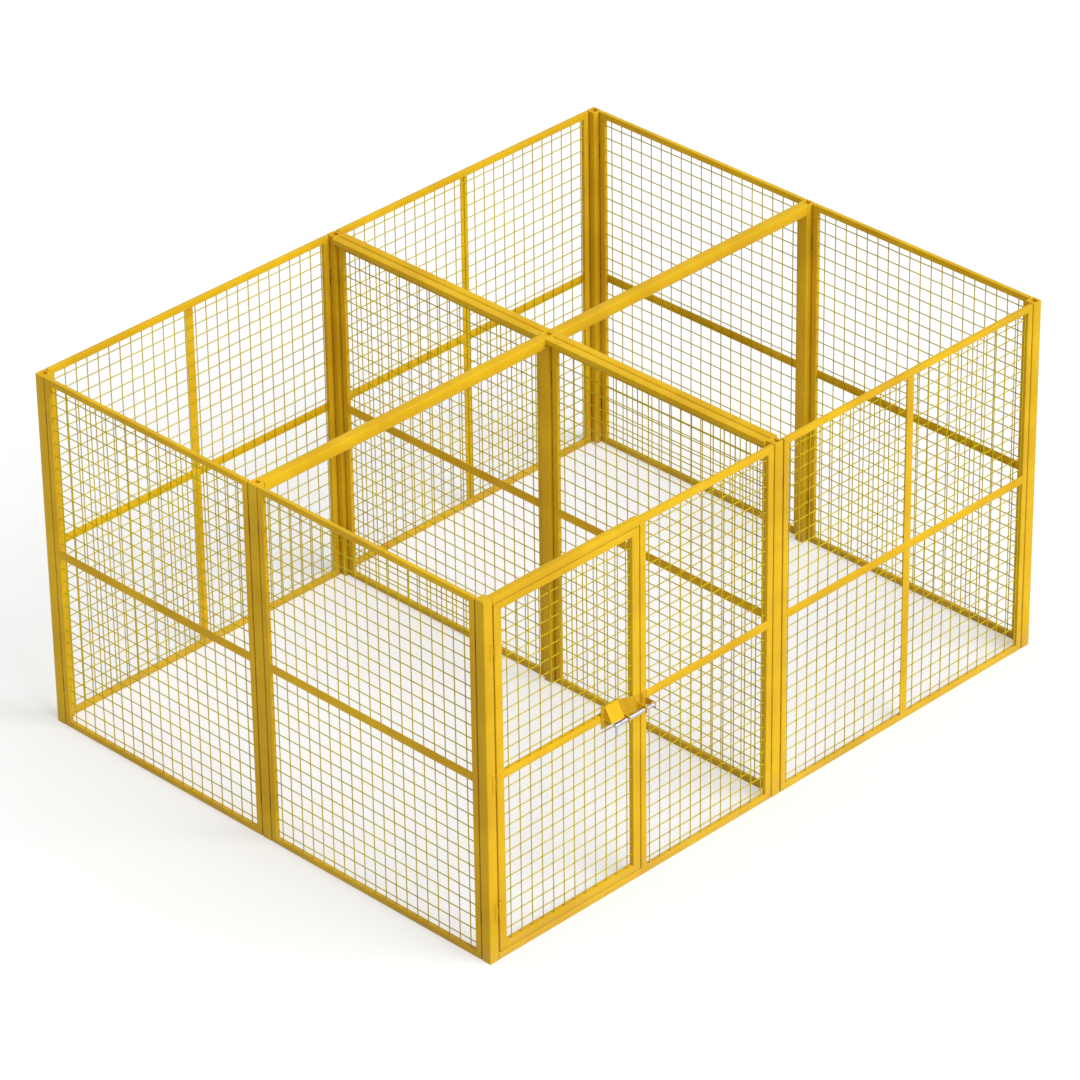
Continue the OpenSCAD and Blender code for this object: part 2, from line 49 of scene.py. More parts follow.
# ------------------------------------------------------------------ sizes, mm
HEIGHT = 2100.0
MID_Z = 1065.0  # middle of every mid rail
AIR = 0.02  # left between faces that meet
LAP = 0.5  # how far the end of a bar reaches into a tube

# posts and tubes
POST = 60.0
POST_R = 5.0
TUBE_R = 3.0
SOCKET = 36.0
SOCKET_DEPTH = 16.0
SOCKET_INSET = (POST - SOCKET) / 2
# a post's top: inset from its face, depth below the top, corner radius
TOP_EDGE = [(0.0, 0.8, POST_R), (0.8, 0.0, POST_R - 0.6)]
CLOSED_TOP = [(3.2, 0.0, 3.4), (4.4, 1.0, 3.0), (6.0, 0.2, 2.6), (POST / 2 - 2.0, 0.2, 0.9)]
OPEN_TOP = [(3.2, 0.0, 3.4), (4.2, 0.8, 3.0), (5.6, 0.2, 2.6), (SOCKET_INSET - 0.9, 0.2, 2.0),
            (SOCKET_INSET, 1.1, 1.6), (SOCKET_INSET, SOCKET_DEPTH, 1.6)]
GROOVE = 9.0  # between the twin rails of the inner wall
GROOVE_R = 9.0
GROOVE_DEPTH = 7.0
WEB_LAP = 0.1  # the strip under the groove reaches this far into each rail
WEB_R = 0.8
WEB_SHORT = 0.5

# panels and their mesh
FACE = 35.0
NARROW_FACE = 40.0
PANEL_D = 25.0
BAR_W = 50.0
BAR_T = 6.0
BAR_R = 1.2
CENTRE_LAP = 0.4  # a centre bar's overlap with the mid rail
PITCH = 75.0
WIRE_R = 3.0
WIRE_SIDES = 8
WIRE_SPANS = 4
WIRE_BOW = 0.5
WIRE_LAP = 1.0  # into the tube at each end
WIRE_GAP = 0.05  # behind the flat bars
WIRE_PRESS = 0.5  # level wires pressed into the upright ones
MARGIN = 12.0  # least distance from a tube to the first wire

# door and hinges
DOOR_STILE = 50.0
DOOR_RAIL = 40.0
HINGE_L = 100.0
LEAF = 28.0
LEAF_T = 3.0
LEAF_R = 3.0
KNUCKLE = 7.0
PIN_SIDE = 4.0  # from the door's edge to the pin
PIN_OUT = 6.0  # from the door's face to the pin
BARREL_GAP = 0.5
BARREL_EDGE = 0.8
LEAF_GAP = 0.5  # between a knuckle and the flat of the leaf
TONGUE = 3.0  # from this near the pin to this far past the knuckle
TONGUE_AIR = 0.03
CAP_L = 3.0
HINGE_SCREW_SIDE = 19.0
HINGE_SCREW_SHARES = (0.17, 0.5, 0.83)

# clips in the seams, with their bolts
SEAM = 8.0
CLIP_Z = (245.0, HEIGHT - 245.0)
CLIP_HALF_W = 7.5
CLIP_HALF_L = 42.5
CLIP_R = 2.0
ACROSS = (POST - PANEL_D) / 2  # from a post's middle to its panel's middle

# latch
LATCH_FALL = 46.0  # fall of the plate's top edge towards the lock side
PLATE_R = 5.0
PLATE_INSET = 4.0  # from the door's edge to the plate
HOOD_T = 2.5
HOOD_INSET = 25.0  # from the plate's end to the hood
GUIDE_SCREW = 124.0  # from the door's edge to the screw beside the first guide
SCREW_LIFT = 4.0
BOLT_R = 12.0
EYE_HALF = 20.0
EYE_T = 6.0
EYE_NOSE = 1.12  # reach of the round nose, as a share of the half height
KEEPER_T = 4.0
KEEPER_R = 4.0
KEEPER_SHORT = 0.2  # the base ends this far inside the eye's face
KEEPER_SCREW_R = 5.2
GUIDE_PLAY = 0.3
KEEPER_PLAY = 1.5
BOLT_TAIL = 2.2  # chamfers on the ends of the bolt
BOLT_NOSE = 3.5
HANDLE_X = 16.0

# weld beads: width, height
MITRE_BEAD = (3.6, 0.9)
BAR_BEAD = (4.5, 1.4)
TUBE_BEAD = (4.5, 1.3)
HOOD_BEAD = (4.0, 1.4)
EYE_BEAD = (4.0, 1.5)
BEAD_STEP = 3.2  # length of one ripple
BEAD_SWELL = 0.78
BEAD_SCATTER = 0.10
BEAD_RIPPLE = (-0.08, 0.16)
BEAD_TAPER = 0.45
BEAD_ROOT = 0.6  # depth of the root under the face
BEAD_START = 3.0  # from the outer corner, or from the edge of a bar
BEAD_STOP = 2.0  # short of the inner corner
BEAD_OFF = 0.1  # off the face of a tube
BEAD_SINK = 0.2  # into the back of a flat bar
TUBE_BEAD_IN = 0.4  # from the end of a cross tube
TUBE_BEAD_SHORT = 5.0
HOOD_BEAD_OFF = 0.5
HOOD_BEAD_SHORT = 4.0
EYE_BEAD_OFF = 0.3
EYE_BEAD_HALF = 17.0

# turned profiles: (along, radius)
BOLT_HEAD = [(-3.6, 8.0), (0.2, 8.0), (0.9, 7.2), (1.0, 4.2)]
BOLT_RECESS = [(1.0, 4.2), (0.2, 3.9), (0.1, 0.0)]
LEAF_SCREW = [(-1.0, 4.2), (0.35, 4.2), (0.6, 3.6), (0.62, 2.0)]
LEAF_RECESS = [(0.62, 2.0), (-0.3, 1.8), (-0.35, 0.0)]
WASHER = [(0.0, 7.0), (0.7, 7.0), (0.9, 6.6), (0.9, 3.0)]
HEX_HEAD = [(0.8, 5.6), (2.4, 5.8), (3.0, 5.0), (3.0, 0.2)]

# ------------------------------------------------------------------ materials


def new_material(name):
    mat = bpy.data.materials.new(name)
    mat.use_nodes = True
    tree = mat.node_tree
    tree.nodes.clear()
    return mat, tree


def node(tree, kind, **props):
    n = tree.nodes.new(kind)
    for key, value in props.items():
        setattr(n, key, value)
    return n


def noise(tree, coords, scale, detail=3.0, rough=0.55, stretch=None):
    """Noise in the object's own space; scale is in cells to the metre."""
    source = coords
    if stretch:
        mapping = node(tree, "ShaderNodeMapping")
        mapping.inputs["Scale"].default_value = stretch
        tree.links.new(coords, mapping.inputs["Vector"])
        source = mapping.outputs["Vector"]
    n = node(tree, "ShaderNodeTexNoise")
    n.inputs["Scale"].default_value = scale
    n.inputs["Detail"].default_value = detail
    n.inputs["Roughness"].default_value = rough
    tree.links.new(source, n.inputs["Vector"])
    return n.outputs["Fac"]


def remap(tree, value, low, high, to_low=0.0, to_high=1.0):
    n = node(tree, "ShaderNodeMapRange")
    n.clamp = True
    n.inputs["From Min"].default_value = low
    n.inputs["From Max"].default_value = high
    n.inputs["To Min"].default_value = to_low
    n.inputs["To Max"].default_value = to_high
    tree.links.new(value, n.inputs["Value"])
    return n.outputs["Result"]


def math_node(tree, op, a, b):
    n = node(tree, "ShaderNodeMath", operation=op)
    for socket, value in zip(n.inputs, (a, b)):
        if isinstance(value, (int, float)):
            socket.default_value = value
        else:
            tree.links.new(value, socket)
    return n.outputs["Value"]


def blend_colour(tree, fac, a, b):
    """Goes from colour a to colour b as fac goes from 0 to 1."""
    n = node(tree, "ShaderNodeMix", data_type="RGBA", blend_type="MIX")
    tree.links.new(fac, n.inputs["Factor"])
    # the colour sockets and the colour output, which share their names with others
    for socket, value in ((n.inputs[6], a), (n.inputs[7], b)):
        if isinstance(value, tuple):
            socket.default_value = (*value, 1.0)
        else:
            tree.links.new(value, socket)
    return n.outputs[2]


def scaled(colour, factors):
    """A colour with each channel times its factor, at most 1."""
    return tuple(min(1.0, c * f) for c, f in zip(colour, factors))


def principled(name):
    mat, tree = new_material(name)
    out = node(tree, "ShaderNodeOutputMaterial")
    bsdf = node(tree, "ShaderNodeBsdfPrincipled")
    tree.links.new(bsdf.outputs["BSDF"], out.inputs["Surface"])
    coords = node(tree, "ShaderNodeTexCoord").outputs["Object"]
    return mat, tree, bsdf, coords


def add_bump(tree, bsdf, height, strength, distance):
    bump = node(tree, "ShaderNodeBump")
    bump.inputs["Strength"].default_value = strength
    bump.inputs["Distance"].default_value = distance
    tree.links.new(height, bump.inputs["Height"])
    tree.links.new(bump.outputs["Normal"], bsdf.inputs["Normal"])


def edge_mask(tree, radius):
    """1 where a rounded edge bends away from the flat, 0 on open faces."""
    bevel = node(tree, "ShaderNodeBevel", samples=4)
    bevel.inputs["Radius"].default_value = radius
    geometry = node(tree, "ShaderNodeNewGeometry")
    dot = node(tree, "ShaderNodeVectorMath", operation="DOT_PRODUCT")
    tree.links.new(bevel.outputs["Normal"], dot.inputs[0])
    tree.links.new(geometry.outputs["True Normal"], dot.inputs[1])
    return remap(tree, dot.outputs["Value"], 0.995, 0.80)


CHIP = (0.22, 0.19, 0.15)
DUST = (0.42, 0.36, 0.27)
DUST_TOP = 0.16  # m above the floor
GRIME = 0.35


def powder_coat(name, colour, rough=0.42, wear_and_highlight=0.5, edges=True):
    """Satin powder coat: orange peel, soft colour drift, rubbed edges that also carry a painted
    highlight, dusty feet.
    """
    mat, tree, bsdf, coords = principled(name)
    drift = noise(tree, coords, 2.3, 4.0)
    cloud = noise(tree, coords, 23.0, 5.0, 0.6)
    peel = noise(tree, coords, 420.0, 2.0)
    dark = scaled(colour, (0.87, 0.83, 0.74))
    light = scaled(colour, (1.06, 1.09, 1.20))
    base = blend_colour(tree, remap(tree, drift, 0.35, 0.65), dark, light)
    base = blend_colour(tree, remap(tree, cloud, 0.50, 0.72, 0.0, 0.38), base, dark)
    # hairline scratches and rub marks along the length
    rub = noise(tree, coords, 60.0, 4.0, 0.7, stretch=(1.0, 1.0, 0.06))
    rub = remap(tree, rub, 0.62, 0.70, 0.0, 0.22 * wear_and_highlight)
    # a paler yellow for the rub marks, and along the edges also a painted highlight
    worn_and_highlight = tuple(min(1.0, c * 0.7 + 0.22) for c in colour)
    base = blend_colour(tree, rub, base, worn_and_highlight)
    if edges:
        edge = edge_mask(tree, 0.0022)
        patchy = remap(tree, noise(tree, coords, 90.0, 5.0, 0.7), 0.58, 0.66)
        chips = math_node(tree, "MULTIPLY", edge, patchy)
        # painted highlight: every rounded edge is made paler, partly as rubbing and partly as light
        # catching the edge
        base = blend_colour(tree, math_node(tree, "MULTIPLY", edge, 0.45 * wear_and_highlight), base, worn_and_highlight)
        base = blend_colour(tree, math_node(tree, "MULTIPLY", chips, 0.75 * wear_and_highlight), base, CHIP)
    # dust and scuffs near the floor
    split = node(tree, "ShaderNodeSeparateXYZ")
    tree.links.new(coords, split.inputs["Vector"])
    low = remap(tree, split.outputs["Z"], DUST_TOP, 0.0)
    scuffs = remap(tree, noise(tree, coords, 35.0, 5.0, 0.65), 0.40, 0.70, 0.0, GRIME)
    dust = math_node(tree, "MULTIPLY", low, scuffs)
    base = blend_colour(tree, dust, base, DUST)
    tree.links.new(base, bsdf.inputs["Base Color"])
    r = remap(tree, cloud, 0.3, 0.7, rough - 0.06, rough + 0.09)
    dull = math_node(tree, "ADD", r, math_node(tree, "MULTIPLY", dust, 0.3))
    tree.links.new(dull, bsdf.inputs["Roughness"])
    bsdf.inputs["Specular IOR Level"].default_value = 0.10
    add_bump(tree, bsdf, peel, 0.22, 0.0004)
    return mat


def zinc_plate(name, colour, rough=0.30, drawn=(1.0, 1.0, 1.0)):
    """Zinc plated steel with a cloudy tone, fine drawn lines and small dark pits."""
    mat, tree, bsdf, coords = principled(name)
    cloud = noise(tree, coords, 70.0, 4.0, 0.6)
    lines = noise(tree, coords, 900.0, 2.0, 0.5, stretch=drawn)
    pits = noise(tree, coords, 300.0, 3.0, 0.6)
    dark, pit = (scaled(colour, (f, f, f)) for f in (0.72, 0.35))
    base = blend_colour(tree, remap(tree, cloud, 0.35, 0.68), dark, colour)
    base = blend_colour(tree, remap(tree, pits, 0.66, 0.74, 0.0, 0.6), base, pit)
    tree.links.new(base, bsdf.inputs["Base Color"])
    bsdf.inputs["Metallic"].default_value = 1.0
    dull = remap(tree, cloud, 0.3, 0.7, rough - 0.06, rough + 0.12)
    tree.links.new(dull, bsdf.inputs["Roughness"])
    add_bump(tree, bsdf, lines, 0.15, 0.0002)
    return mat


YELLOW = (0.745, 0.452, 0.010)
# painted shade: the wires share the frames' yellow coat, here darkened to olive to stand in for the
# shade on their round sides
SHADED_WIRE_YELLOW = (0.57, 0.455, 0.004)
# painted shade: the latch plate and keeper take the frame yellow darkened, standing in for the
# shade that falls on the plate beside the hood and on the keeper's side
LATCH_SHADED_YELLOW = scaled(YELLOW, (0.80, 0.74, 0.9))
WELD_YELLOW = scaled(YELLOW, (0.90, 0.90, 0.90))
COAT = powder_coat("frame_coat", YELLOW)
WIRE_PAINTED_SHADE_COAT = powder_coat("wire_painted_shade_coat", SHADED_WIRE_YELLOW, rough=0.40, wear_and_highlight=0.25, edges=False)
LATCH_PAINTED_SHADE_COAT = powder_coat("latch_painted_shade_coat", LATCH_SHADED_YELLOW, rough=0.45, wear_and_highlight=0.9)
DARK_COAT = powder_coat("clip_coat", (0.10, 0.07, 0.022), rough=0.55)
ZINC = zinc_plate("zinc_plate", (0.62, 0.62, 0.70), drawn=(0.05, 1.0, 1.0))
NUT_ZINC = zinc_plate("screw_zinc", (0.60, 0.60, 0.64), rough=0.36)
WELD = powder_coat("weld_coat", WELD_YELLOW, rough=0.36, wear_and_highlight=0.2, edges=False)

# ------------------------------------------------------------------ mesh tools


def add_object(name, data):
    obj = bpy.data.objects.new(name, data)
    bpy.context.scene.collection.objects.link(obj)
    return obj


class Solid:
    """Collects faces in millimetres and becomes one object in metres."""

    def __init__(self):
        self.points = []
        self.faces = []

    def loft(self, rings, close=False, place=None):
        """Joins rings of equally many points, each ring a closed outline."""
        base = len(self.points)
        n = len(rings[0])
        for ring in rings:
            self.points.extend(place(*p) if place else p for p in ring)
        spans = len(rings) if close else len(rings) - 1
        for k in range(spans):
            a, b = base + k * n, base + ((k + 1) % len(rings)) * n
            for i in range(n):
                j = (i + 1) % n
                self.faces.append((a + i, a + j, b + j, b + i))
        if not close:
            last = base + (len(rings) - 1) * n
            self.faces.append(tuple(base + i for i in range(n - 1, -1, -1)))
            self.faces.append(tuple(last + i for i in range(n)))

    def build(self, name, material, body, replaces=(), slot=None, angle=32.0, bevel=0.0):
        mesh = bpy.data.meshes.new(name)
        mesh.from_pydata([tuple(c * MM for c in p) for p in self.points], [], self.faces)
        mesh.validate()
        bm = bmesh.new()
        bm.from_mesh(mesh)
        bmesh.ops.recalc_face_normals(bm, faces=bm.faces)
        bm.to_mesh(mesh)
        bm.free()
        mesh.shade_smooth()
        mesh.set_sharp_from_angle(angle=math.radians(angle))
        mesh.materials.append(material)
        obj = add_object(name, mesh)
        if bevel:
            mod = obj.modifiers.new("edge", "BEVEL")
            mod.width = bevel * MM
            mod.segments = 2
            mod.limit_method = "ANGLE"
            mod.angle_limit = math.radians(35)
        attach(obj, body)
        if replaces:
            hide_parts(*replaces)
        return obj


def round_rect(a0, a1, b0, b1, r, steps=3):
    """Outline of a rectangle with round corners, as (a, b) pairs."""
    r = min(r, (a1 - a0) / 2 - 0.01, (b1 - b0) / 2 - 0.01)
    centres = ((a1 - r, b1 - r), (a0 + r, b1 - r), (a0 + r, b0 + r), (a1 - r, b0 + r))
    out = []
    for quarter, (ca, cb) in enumerate(centres):
        for k in range(steps + 1):
            t = math.radians(90 * quarter + 90 * k / steps)
            out.append((ca + r * math.cos(t), cb + r * math.sin(t)))
    return out


def round_outline(corners, radii, steps=4):
    """Outline of a convex polygon, given anticlockwise, with a radius for each corner."""
    out = []
    count = len(corners)
    for k, (corner, r) in enumerate(zip(corners, radii)):
        here = Vector(corner)
        before = (Vector(corners[k - 1]) - here).normalized()
        after = (Vector(corners[(k + 1) % count]) - here).normalized()
        half_angle = before.angle(after) / 2
        centre = here + (before + after).normalized() * (r / math.sin(half_angle))
        start = here + before * (r / math.tan(half_angle)) - centre
        end = here + after * (r / math.tan(half_angle)) - centre
        turn = start.angle(end)
        for i in range(steps + 1):
            c, s = math.cos(turn * i / steps), math.sin(turn * i / steps)
            out.append((centre.x + start.x * c - start.y * s, centre.y + start.x * s + start.y * c))
    return out


def circle(r, n, phase=0.0):
    angles = [2 * math.pi * k / n + phase for k in range(n)]
    return [(r * math.cos(t), r * math.sin(t)) for t in angles]


def plate(solid, outline, y0, y1):
    """A flat plate that faces the front: outline is (x, z) pairs."""
    solid.loft([[(x, y, z) for x, z in outline] for y in (y0, y1)])


def bar_x(solid, x0, x1, y0, y1, z0, z1, r, place=None):
    """A bar along the first axis with rounded edges."""
    outline = round_rect(y0, y1, z0, z1, r)
    solid.loft([[(x, a, b) for a, b in outline] for x in (x0, x1)], place=place)


def bar_z(solid, x0, x1, y0, y1, z0, z1, r, place=None):
    """An upright bar with rounded edges."""
    outline = round_rect(x0, x1, y0, y1, r)
    solid.loft([[(a, b, z) for a, b in outline] for z in (z0, z1)], place=place)


def turned(solid, profile, n, place):
    """A turned piece: profile is (along, radius) pairs, place maps (along, a, b)."""
    rings = [[(along, a, b) for a, b in circle(max(radius, 0.01), n)]
             for along, radius in profile]
    solid.loft(rings, place=place)


def shifted(profile, by):
    return [(along + by, radius) for along, radius in profile]


def weld_bead(solid, p, q, normal, width, height):
    """A rippled fillet of weld from p to q on a face with that outward normal."""
    p, q, out = Vector(p), Vector(q), Vector(normal).normalized()
    along = q - p
    length = along.length
    along.normalize()
    side = out.cross(along)
    count = max(4, int(length / BEAD_STEP))
    rings = []
    for k in range(count + 1):
        # every other ring stands a little higher, and both ends taper
        swell = BEAD_SWELL + rng.uniform(-BEAD_SCATTER, BEAD_SCATTER) + BEAD_RIPPLE[k % 2]
        if k in (0, count):
            swell *= BEAD_TAPER
        centre = p + along * (length * (k / count))
        ring = []
        for angle in (0, 45, 90, 135, 180):
            c, s = math.cos(math.radians(angle)), math.sin(math.radians(angle))
            ring.append(tuple(centre + side * (c * width / 2 * swell) + out * (s * height * swell)))
        for away in (-1, 1):
            ring.append(tuple(centre + side * (away * width / 3) - out * BEAD_ROOT))
        rings.append(ring)
    solid.loft(rings)


def box_mm(name):
    low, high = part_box(name)
    return Vector(c / MM for c in low), Vector(c / MM for c in high)


# ------------------------------------------------------------------ posts
POSTS = sorted(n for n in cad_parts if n.startswith("post_"))
for name in POSTS:
    low, high = box_mm(name)
    cx, cy = (low.x + high.x) / 2, (low.y + high.y) / 2
    top = CLOSED_TOP if name == "post_front_left" else OPEN_TOP
    rings = []
    for inset, depth, r in [(0.0, HEIGHT, POST_R)] + TOP_EDGE + top:
        half = POST / 2 - inset
        outline = round_rect(-half, half, -half, half, r)
        rings.append([(cx + a, cy + b, HEIGHT - depth) for a, b in outline])
    s = Solid()
    s.loft(rings)
    s.build(name + "_tube", COAT, "cage", (name,), "frame_coat")

# ------------------------------------------------------------------ panels
# name, axis along the wall, outward side, face width, centre bar
PANELS = [
    ("front_narrow", "x", -1, NARROW_FACE, False),
    ("front_wide", "x", -1, FACE, True),
    ("back_left", "x", 1, FACE, True),
    ("back_right", "x", 1, FACE, True),
    ("left_front", "y", -1, FACE, False),
    ("left_back", "y", -1, FACE, False),
    ("right_front", "y", 1, FACE, False),
    ("right_back", "y", 1, FACE, False),
    ("inner_front", "y", -1, FACE, False),
    ("inner_back", "y", -1, FACE, False),
]


def panel_place(name, axis, outward):
    """Maps (u along the wall, d depth from the outer face, z) to the part's frame."""
    low, high = box_mm("frame_" + name)
    if axis == "x":
        if outward < 0:
            return lambda u, d, z: (low.x + u, low.y + d, z)
        return lambda u, d, z: (low.x + u, high.y - d, z)
    if outward < 0:
        return lambda u, d, z: (low.x + d, low.y + u, z)
    return lambda u, d, z: (high.x - d, low.y + u, z)


def tube_ring(solid, w, z0, z1, stile, rail, depth, place):
    """A welded rectangle of tube with mitred corners and rounded edges."""
    # the outline's first value is a share of the face width, kept round in mm
    face = (stile + rail) / 2
    outline = [(a / face, b) for a, b in round_rect(0.0, face, 0.0, depth, TUBE_R)]
    corners = (
        lambda t: (t * stile, z0 + t * rail),
        lambda t: (w - t * stile, z0 + t * rail),
        lambda t: (w - t * stile, z1 - t * rail),
        lambda t: (t * stile, z1 - t * rail),
    )
    rings = [[(corner(t)[0], d, corner(t)[1]) for t, d in outline] for corner in corners]
    solid.loft(rings, close=True, place=place)


def upright_positions(a, b):
    n = math.floor((b - a - 2 * MARGIN) / PITCH)
    return [(a + b) / 2 + (k - n / 2) * PITCH for k in range(n + 1)]


def level_positions(a, b):
    first = math.ceil((a + MARGIN) / PITCH)
    last = math.floor((b - MARGIN) / PITCH)
    return [k * PITCH for k in range(first, last + 1)]


def wire(solid, start, end, axis, place):
    """One wire from start to end, a hair out of true as drawn wire is."""
    dx, dz = rng.uniform(-WIRE_BOW, WIRE_BOW), rng.uniform(-WIRE_BOW, WIRE_BOW)
    rings = []
    for k in range(WIRE_SPANS + 1):
        t = k / WIRE_SPANS
        bow = math.sin(math.pi * t)
        x, y, z = (p + (q - p) * t for p, q in zip(start, end))
        outline = circle(WIRE_R, WIRE_SIDES, math.pi / WIRE_SIDES)
        if axis == "z":
            rings.append([(x + a + dx * bow, y + b, z) for a, b in outline])
        else:
            rings.append([(x, y + a, z + b + dz * bow) for a, b in outline])
    solid.loft(rings, place=place)


def mesh_sheet(solid, a, b, bottom, top, place):
    """Upright wires behind the flat bars and level wires sunk a little into them."""
    d_upright = BAR_T + WIRE_R + WIRE_GAP
    d_level = d_upright + 2 * WIRE_R - WIRE_PRESS
    for x in upright_positions(a, b):
        wire(solid, (x, d_upright, bottom - WIRE_LAP), (x, d_upright, top + WIRE_LAP), "z", place)
    for z in level_positions(bottom, top):
        wire(solid, (a - WIRE_LAP, d_level, z), (b + WIRE_LAP, d_level, z), "x", place)


def ring_welds(solid, w, z0, z1, stile, rail, depth, place, mids, outer=True):
    """Beads on the mitres of a welded rectangle, and behind its bars at mids."""
    out = Vector(place(0, -1, 0)) - Vector(place(0, 0, 0))
    for z, up in ((z0, 1), (z1, -1)):
        for u, across in ((0.0, 1), (w, -1)):
            u0, u1 = u + across * BEAD_START, u + across * (stile - BEAD_STOP)
            a, b = z + up * BEAD_START, z + up * (rail - BEAD_STOP)
            if outer:
                weld_bead(solid, place(u0, -BEAD_OFF, a), place(u1, -BEAD_OFF, b), out,
                          *MITRE_BEAD)
            back = depth + BEAD_OFF
            weld_bead(solid, place(u0, back, a), place(u1, back, b), -out, *MITRE_BEAD)
    back = BAR_T - BEAD_SINK
    for (u0, a), (u1, b) in mids:
        weld_bead(solid, place(u0, back, a), place(u1, back, b), -out, *BAR_BEAD)


def end_seams(w, stile, z0, z1):
    """The two upright seams where a bar meets the stiles."""
    return [((u, z0 + BEAD_START), (u, z1 - BEAD_START)) for u in (stile, w - stile)]


welds = Solid()
bar_low, bar_high = MID_Z - BAR_W / 2, MID_Z + BAR_W / 2
for name, axis, outward, face, centre in PANELS:
    place = panel_place(name, axis, outward)
    low, high = box_mm("frame_" + name)
    w = (high.x - low.x) if axis == "x" else (high.y - low.y)
    top = high.z
    s = Solid()
    tube_ring(s, w, 0.0, top, face, face, PANEL_D, place)
    bar_x(s, face - LAP, w - face + LAP, 0.0, BAR_T, bar_low, bar_high, BAR_R, place)
    mids = end_seams(w, face, bar_low, bar_high)
    if centre:
        c0, c1 = w / 2 - BAR_W / 2, w / 2 + BAR_W / 2
        for z0, z1 in ((face - LAP, bar_low + CENTRE_LAP),
                       (bar_high - CENTRE_LAP, top - face + LAP)):
            bar_z(s, c0, c1, 0.0, BAR_T, z0, z1, BAR_R, place)
        for z in (face, bar_low, bar_high, top - face):
            mids.append(((c0 + BEAD_START, z), (c1 - BEAD_START, z)))
    s.build("frame_" + name + "_tube", COAT, "cage", ("frame_" + name,), "frame_coat")
    # on the side and back walls the outer mitres are ground flat
    outer = name.startswith(("front", "inner"))
    ring_welds(welds, w, 0.0, top, face, face, PANEL_D, place, mids, outer)
    m = Solid()
    mesh_sheet(m, face, w - face, face, top - face, place)
    # the wires' darkened yellow is painted shade
    m.build("mesh_" + name + "_wires", WIRE_PAINTED_SHADE_COAT, "cage", ("mesh_" + name,), "mesh_coat",
            angle=50)

# ------------------------------------------------------------------ door
DOOR_LOW, high = box_mm("door_frame")
door_w, door_d, door_top = high.x - DOOR_LOW.x, high.y - DOOR_LOW.y, high.z


def door_place(u, d, z):
    return (DOOR_LOW.x + u, DOOR_LOW.y + d, z)


s = Solid()
tube_ring(s, door_w, DOOR_LOW.z, door_top, DOOR_STILE, DOOR_RAIL, door_d, door_place)
mid_low, mid_high = MID_Z - DOOR_RAIL / 2, MID_Z + DOOR_RAIL / 2
inside = (DOOR_STILE, door_w - DOOR_STILE)
bar_x(s, inside[0] - LAP, inside[1] + LAP, 0.0, door_d, mid_low, mid_high, TUBE_R, door_place)
s.build("door_frame_tube", COAT, "door", ("door_frame",), "frame_coat")
door_welds = Solid()
ring_welds(door_welds, door_w, DOOR_LOW.z, door_top, DOOR_STILE, DOOR_RAIL, door_d, door_place,
           end_seams(door_w, DOOR_STILE, mid_low, mid_high))
m = Solid()
mesh_sheet(m, *inside, DOOR_LOW.z + DOOR_RAIL, mid_low, door_place)
mesh_sheet(m, *inside, mid_high, door_top - DOOR_RAIL, door_place)
# the wires' darkened yellow is painted shade
m.build("door_mesh_wires", WIRE_PAINTED_SHADE_COAT, "door", ("door_mesh",), "mesh_coat", angle=50)

# ------------------------------------------------------------------ cross tubes
for name in ("beam_left", "beam_right", "door_header", "door_sill"):
    low, high = box_mm(name)
    s = Solid()
    r = POST_R if name.startswith("beam") else TUBE_R
    bar_x(s, low.x, high.x, low.y, high.y, low.z, high.z, r)
    s.build(name + "_tube", COAT, "cage", (name,), "frame_coat")
    z0, z1 = low.z + TUBE_BEAD_SHORT, high.z - TUBE_BEAD_SHORT
    for x in (low.x + TUBE_BEAD_IN, high.x - TUBE_BEAD_IN):
        for y, out in ((low.y, -1), (high.y, 1)):
            weld_bead(welds, (x, y, z0), (x, y, z1), (0, out, 0), *TUBE_BEAD)

for name in ("inner_rails_front", "inner_rails_back"):
    low, high = box_mm(name)
    cx = (low.x + high.x) / 2
    s = Solid()
    # the two rails, wider rounded where they face the groove
    for a, b, radii in ((low.x, cx - GROOVE / 2, (TUBE_R, TUBE_R, GROOVE_R, TUBE_R)),
                        (cx + GROOVE / 2, high.x, (TUBE_R, TUBE_R, TUBE_R, GROOVE_R))):
        corners = [(a, low.z), (b, low.z), (b, high.z), (a, high.z)]
        plate(s, round_outline(corners, radii), low.y, high.y)
    web = GROOVE / 2 + WEB_LAP
    strip = round_rect(cx - web, cx + web, low.z, high.z - GROOVE_DEPTH, WEB_R)
    plate(s, strip, low.y + WEB_SHORT, high.y - WEB_SHORT)
    s.build(name + "_tubes", COAT, "cage", (name,), "frame_coat")

# ------------------------------------------------------------------ clips
post_at = {n: ((box_mm(n)[0] + box_mm(n)[1]) / 2) for n in POSTS}
ROWS = ("front", "middle", "back")
COLS = ("left", "middle", "right")


def post_name(i, j):
    return "post_centre" if (i, j) == (1, 1) else "post_%s_%s" % (ROWS[j], COLS[i])


